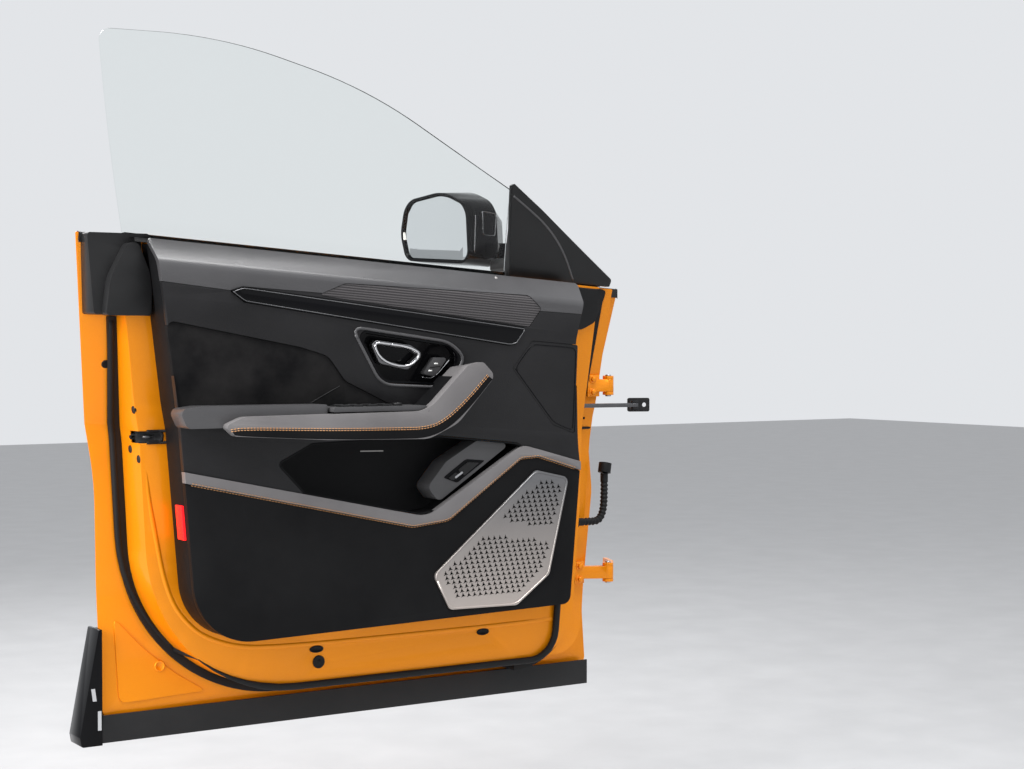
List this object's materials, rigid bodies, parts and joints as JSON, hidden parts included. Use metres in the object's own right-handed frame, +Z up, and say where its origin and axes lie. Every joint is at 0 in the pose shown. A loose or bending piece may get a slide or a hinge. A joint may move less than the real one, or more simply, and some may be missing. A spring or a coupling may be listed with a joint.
{
  "type": "front left car door",
  "caption": "Open frameless front car door on two hinges: shell, window, folding mirror, trimmed inner panel with armrest, pocket, grille, handles, latch and check strap.",
  "frame": {"origin": "centre of the two pillar bolts of the lower hinge, on the leaf's mating face", "axes": "+X from the door's latch end to its hinge end, +Y out of the car through the open door, +Z up"},
  "size_m": [1.2285, 0.5515, 1.2074],
  "materials": {
    "body_paint": "bright orange pearl paint, glossy",
    "carrier_plastic": "fine-grained moulded plastic, matt",
    "dark_leather": "dark charcoal leather, fine grain",
    "grey_leather": "grey leather, fine grain, orange stitching",
    "suede": "dark microfibre suede",
    "gloss_black": "piano black, glossy",
    "ribbed_insert": "finely ribbed dark trim",
    "grille_metal": "brushed, perforated",
    "chrome": "bright",
    "window_glass": "clear",
    "mirror_glass": "silvered",
    "black_plastic": "moulded plastic",
    "seal_rubber": "matt",
    "latch_steel": "dark coated",
    "red_lamp": "lit red lens"
  },
  "bodies": {
    "pillar": {"lower_pillar_leaf": "body_paint", "upper_pillar_leaf": "body_paint", "check_bracket": "black_plastic", "loom_plug": "seal_rubber"},
    "door": {"outer_skin": "body_paint", "inner_panel": "body_paint", "trim_carrier": "carrier_plastic", "belt_roll": "dark_leather", "gloss_strip": "gloss_black", "textured_insert": "ribbed_insert", "suede_panel": "suede", "front_inset": "dark_leather", "mid_card": "dark_leather", "pocket_band": "grey_leather", "lower_card": "carrier_plastic", "speaker_grille": "grille_metal", "handle_bezel": "gloss_black", "handle_lever": "chrome", "lock_buttons": "gloss_black", "pocket_liner": "carrier_plastic", "switch_console": "dark_leather", "armrest_pad": "grey_leather", "armrest_grip": "grey_leather", "window_switch_pod": "gloss_black", "window_glass": "window_glass", "sail_panel": "black_plastic", "mirror_base": "black_plastic", "belt_seal": "seal_rubber", "lower_cladding": "black_plastic", "cladding_end_cap": "gloss_black", "latch": "latch_steel", "door_seal": "seal_rubber", "corner_cover": "black_plastic", "handle_cup": "body_paint", "outer_handle": "body_paint", "lower_door_leaf": "body_paint", "upper_door_leaf": "body_paint", "checker_box": "latch_steel", "loom_boot": "seal_rubber", "mirror_foot": "black_plastic", "edge_lamp": "red_lamp"},
    "mirror": {"mirror_housing": "gloss_black", "mirror_glass": "mirror_glass"},
    "check_strap": {"check_strap": "latch_steel"}
  },
  "joints": [
    {"name": "door_swing", "type": "hinge", "parent": "pillar", "child": "door", "pos_m": [-0.03729, -0.04425, 0], "axis": [0, 0, 1], "range_deg": [0, 68], "deforming": ["loom_boot"]},
    {"name": "check_strap_pivot", "type": "hinge", "parent": "pillar", "child": "check_strap", "pos_m": [0.0137, -0.06486, 0.338], "axis": [0, 0, 1], "range_deg": [0, 38.6]},
    {"name": "mirror_fold", "type": "hinge", "parent": "door", "child": "mirror", "pos_m": [-0.22729, 0.05575, 0.632], "axis": [0, 0, 1], "range_deg": [0, 60]}
  ],
  "couplings": [
    {"joint": "check_strap_pivot", "follows": "door_swing", "ratio": 0.5675}
  ]
}
